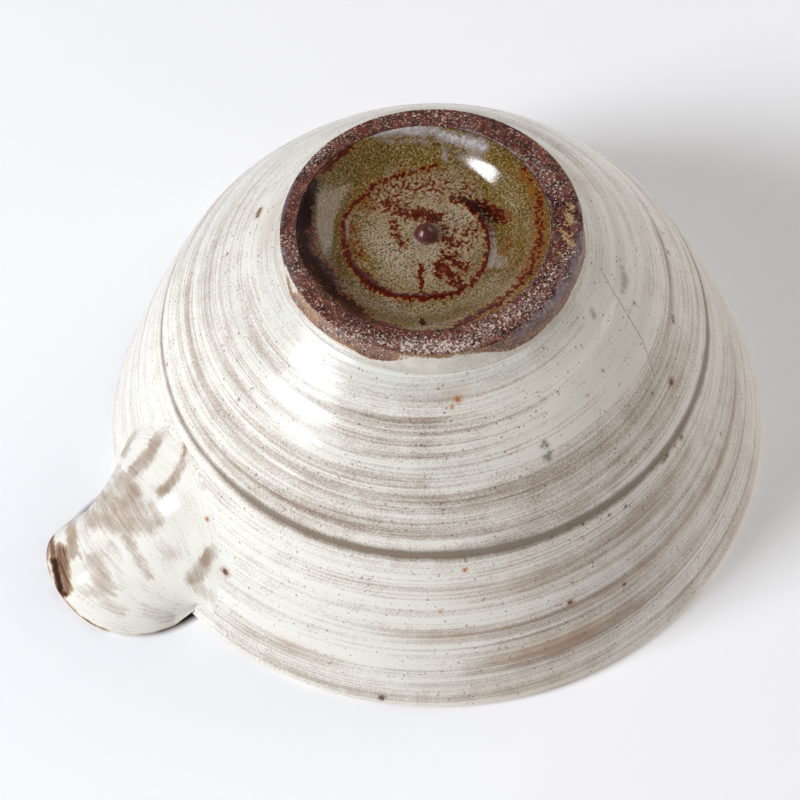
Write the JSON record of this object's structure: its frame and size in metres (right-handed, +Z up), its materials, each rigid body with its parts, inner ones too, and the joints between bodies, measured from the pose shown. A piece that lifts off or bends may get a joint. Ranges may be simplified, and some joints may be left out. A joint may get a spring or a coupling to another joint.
{
  "type": "sake pourer",
  "caption": "Round stoneware pouring bowl on a turned foot ring, with an open spout luted to a notch in its rim, for serving sake.",
  "frame": {"origin": "centre of the foot ring's ground face, where the bowl's axis meets the surface it stands on", "axes": "+Z up out of the bowl's mouth, +X along the spout towards its lip, +Y to the left of the spout"},
  "size_m": [0.1722, 0.151, 0.0725],
  "materials": {
    "slipped_stoneware": "brushed white slip under clear gloss glaze",
    "iron_clay": "bare iron-bearing clay, toasted and worn",
    "olive_glaze": "glossy ash glaze, pooled"
  },
  "bodies": {
    "root": {"bowl": "slipped_stoneware", "foot_ring": "iron_clay", "foot_glaze": "olive_glaze", "spout": "slipped_stoneware", "spout_lute": "slipped_stoneware"}
  },
  "joints": []
}
